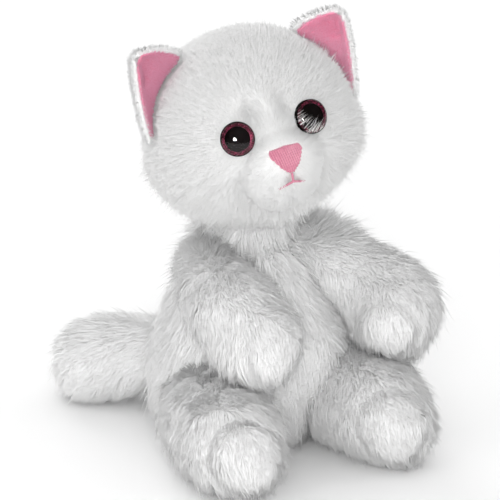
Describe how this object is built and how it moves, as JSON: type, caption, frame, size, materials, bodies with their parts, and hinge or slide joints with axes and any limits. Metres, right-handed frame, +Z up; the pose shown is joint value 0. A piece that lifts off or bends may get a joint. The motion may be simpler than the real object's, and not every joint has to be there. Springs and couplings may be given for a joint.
{
  "type": "plush cat",
  "caption": "Sitting stuffed kitten in long white pile fabric, with sewn panels, jointed head, limbs, ears and tail, domed eyes and an embroidered nose.",
  "frame": {"origin": "centre of the flat underside of the seat", "axes": "+Z up; the body faces -Y, and its own left side is +X"},
  "size_m": [0.1389, 0.1857, 0.2154],
  "materials": {
    "white_plush": "long shaggy white pile, slightly glossy strands lying in tufts",
    "pink_plush": "short brushed pink pile, darker in the fold",
    "pink_thread": "satin-stitched embroidery thread with a silky sheen",
    "white_thread": "twisted polyester sewing thread",
    "stuffing": "loose polyester fibre fill",
    "bag_cloth": "plain woven cloth",
    "clear_plastic": "polished clear dome",
    "glitter_foil": "burgundy glitter foil",
    "black_plastic": "gloss black moulded plastic"
  },
  "bodies": {
    "torso": {"torso_belly": "white_plush", "torso_back_left": "white_plush", "torso_back_right": "white_plush", "torso_seat": "white_plush", "pellet_bag": "bag_cloth", "torso_stuffing": "stuffing", "back_closing_seam": "white_thread"},
    "neck_lower": {"neck_stuffing": "stuffing"},
    "neck_upper": {"neck_seam_thread": "white_thread"},
    "head": {"head_muzzle": "white_plush", "head_gusset": "white_plush", "head_chin": "white_plush", "head_side_left": "white_plush", "head_side_right": "white_plush", "head_back_left": "white_plush", "head_back_right": "white_plush", "head_stuffing": "stuffing", "eye_post_left": "black_plastic", "eye_iris_left": "glitter_foil", "eye_pupil_left": "black_plastic", "eye_dome_left": "clear_plastic", "eye_washer_left": "black_plastic", "eye_post_right": "black_plastic", "eye_iris_right": "glitter_foil", "eye_pupil_right": "black_plastic", "eye_dome_right": "clear_plastic", "eye_washer_right": "black_plastic", "nose_stitches": "pink_thread", "mouth_stitches": "pink_thread"},
    "ear_left": {"ear_back_left": "white_plush", "ear_lining_left": "pink_plush"},
    "ear_right": {"ear_back_right": "white_plush", "ear_lining_right": "pink_plush"},
    "arm_left": {"arm_outer_left": "white_plush", "arm_inner_left": "white_plush", "arm_stuffing_left": "stuffing", "shoulder_seam_left": "white_thread"},
    "arm_right": {"arm_outer_right": "white_plush", "arm_inner_right": "white_plush", "arm_stuffing_right": "stuffing", "shoulder_seam_right": "white_thread"},
    "leg_left": {"leg_upper_left": "white_plush", "leg_sole_left": "white_plush", "leg_stuffing_left": "stuffing", "hip_seam_left": "white_thread"},
    "leg_right": {"leg_upper_right": "white_plush", "leg_sole_right": "white_plush", "leg_stuffing_right": "stuffing", "hip_seam_right": "white_thread"},
    "tail": {"tail_upper": "white_plush", "tail_lower": "white_plush", "tail_stuffing": "stuffing", "tail_seam": "white_thread"}
  },
  "joints": [
    {"name": "neck_turn", "type": "hinge", "parent": "torso", "child": "neck_lower", "pos_m": [-0.0015, -0.01, 0.114], "axis": [0, 0, 1], "range_deg": [-30, 30], "stiffness_Nm_per_rad": 0.3},
    {"name": "neck_nod", "type": "hinge", "parent": "neck_lower", "child": "neck_upper", "pos_m": [-0.0015, -0.01, 0.114], "axis": [0.9724, -0.2334, 0], "range_deg": [-12, 10], "stiffness_Nm_per_rad": 0.6},
    {"name": "neck_tilt", "type": "hinge", "parent": "neck_upper", "child": "head", "pos_m": [-0.0015, -0.01, 0.114], "axis": [-0.2334, -0.9724, 0], "range_deg": [-10, 10], "stiffness_Nm_per_rad": 0.6},
    {"name": "ear_left_fold", "type": "hinge", "parent": "head", "child": "ear_left", "pos_m": [0.0283, -0.0273, 0.1875], "axis": [0.5392, -0.3798, -0.7517], "range_deg": [-12, 12], "stiffness_Nm_per_rad": 0.02},
    {"name": "ear_right_fold", "type": "hinge", "parent": "head", "child": "ear_right", "pos_m": [-0.0439, -0.0116, 0.1785], "axis": [0.4561, 0.1631, 0.8748], "range_deg": [-12, 12], "stiffness_Nm_per_rad": 0.02},
    {"name": "arm_left_lift", "type": "hinge", "parent": "torso", "child": "arm_left", "pos_m": [0.022, -0.009, 0.0915], "axis": [-1, 0, 0], "range_deg": [0, 30], "stiffness_Nm_per_rad": 0.06},
    {"name": "arm_right_lift", "type": "hinge", "parent": "torso", "child": "arm_right", "pos_m": [-0.022, -0.009, 0.0915], "axis": [-1, 0, 0], "range_deg": [0, 30], "stiffness_Nm_per_rad": 0.06},
    {"name": "leg_left_spread", "type": "hinge", "parent": "torso", "child": "leg_left", "pos_m": [0.027, -0.012, 0.022], "axis": [0, 0, 1], "range_deg": [0, 22], "stiffness_Nm_per_rad": 0.08},
    {"name": "leg_right_spread", "type": "hinge", "parent": "torso", "child": "leg_right", "pos_m": [-0.027, -0.012, 0.022], "axis": [0, 0, -1], "range_deg": [0, 22], "stiffness_Nm_per_rad": 0.08},
    {"name": "tail_wag", "type": "hinge", "parent": "torso", "child": "tail", "pos_m": [-0.006, 0.034, 0.027], "axis": [0, 0, 1], "range_deg": [-20, 20], "stiffness_Nm_per_rad": 0.06}
  ]
}
